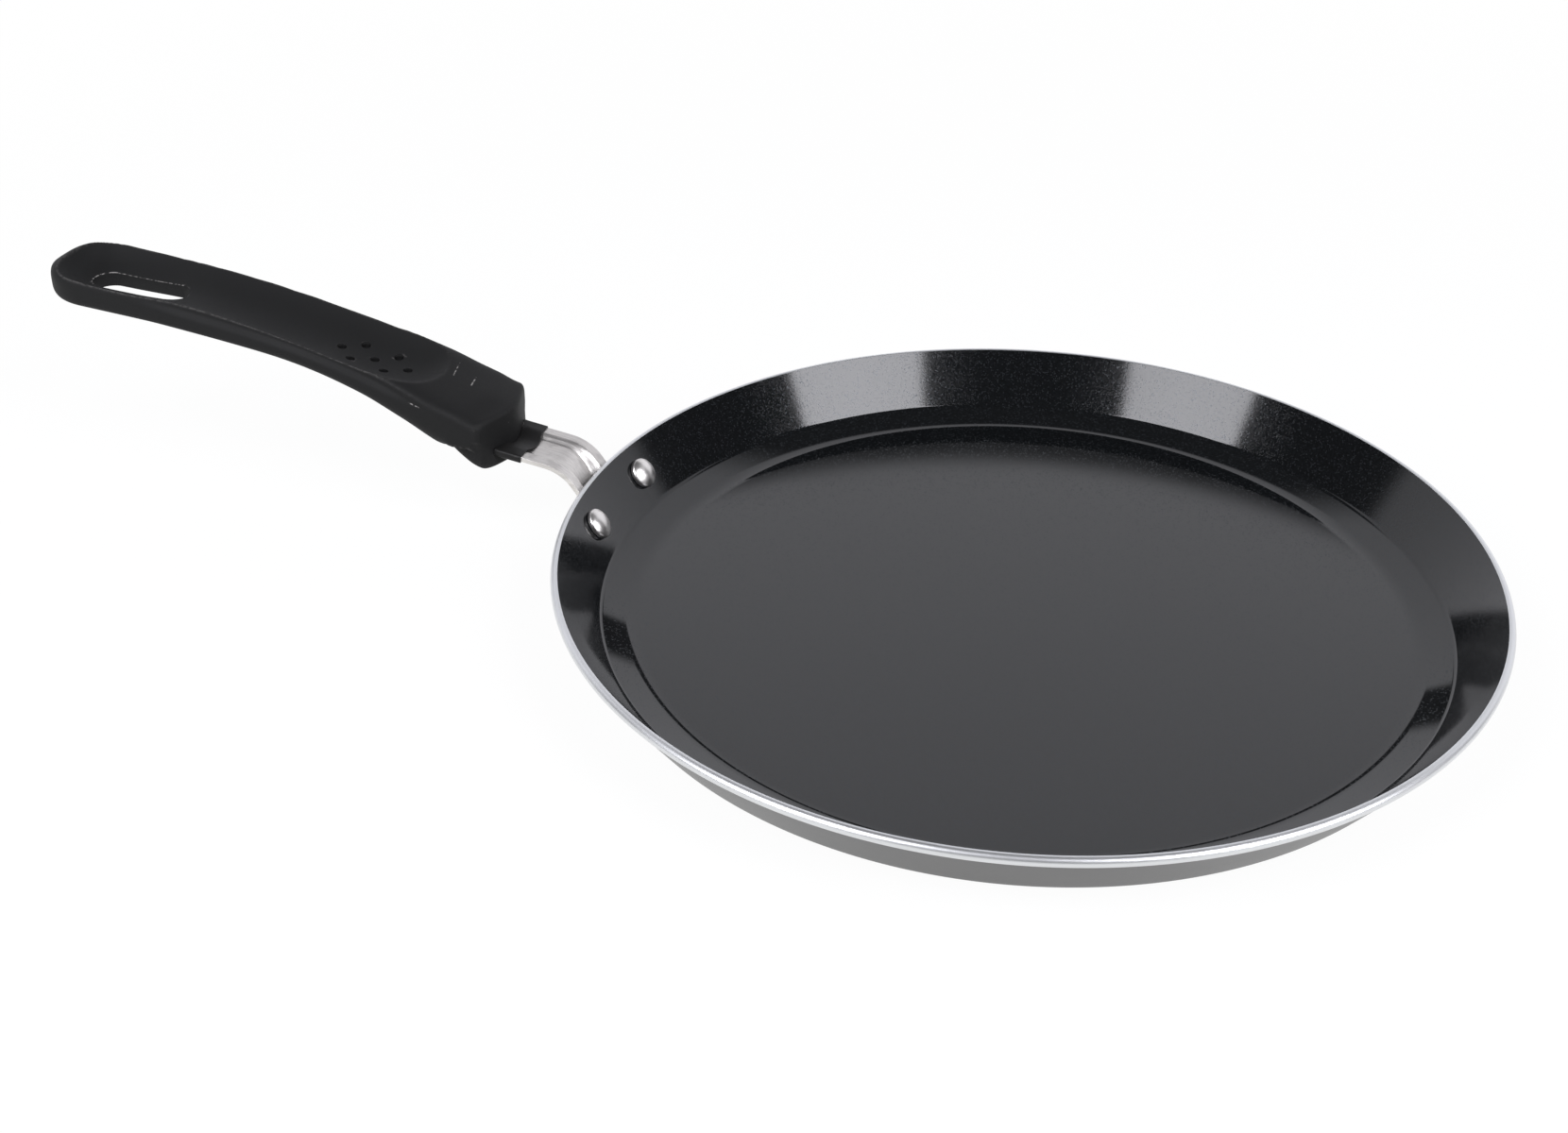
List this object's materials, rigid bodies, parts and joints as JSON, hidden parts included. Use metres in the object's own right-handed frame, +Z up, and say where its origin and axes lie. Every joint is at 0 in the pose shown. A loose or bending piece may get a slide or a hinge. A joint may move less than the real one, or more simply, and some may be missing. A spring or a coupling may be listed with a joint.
{
  "type": "crepe pan",
  "caption": "Shallow round crepe pan with a flared wall and a dark non-stick inside, a riveted steel strap and a long black moulded grip with a hanging slot.",
  "frame": {"origin": "middle of the base, on the hob", "axes": "+Z up out of the pan, the grip along -X, +Y to the left for someone who holds the grip"},
  "size_m": [0.4707, 0.28, 0.0659],
  "materials": {
    "pan": "speckled dark non-stick coating inside, satin grey lacquer outside, polished rim",
    "rivets": "polished",
    "strap": "satin, drawn along its length",
    "sleeve": "matte black",
    "grip": "matte black, fine moulded grain",
    "fixings": "zinc plated",
    "insert": "turned"
  },
  "bodies": {
    "root": {"pan_body": "pan", "rivet_left": "rivets", "rivet_right": "rivets", "handle_strap": "strap", "strap_sleeve": "sleeve", "handle_grip": "grip", "grip_screw": "fixings", "spring_washer": "fixings", "screw_insert": "insert"}
  },
  "joints": []
}
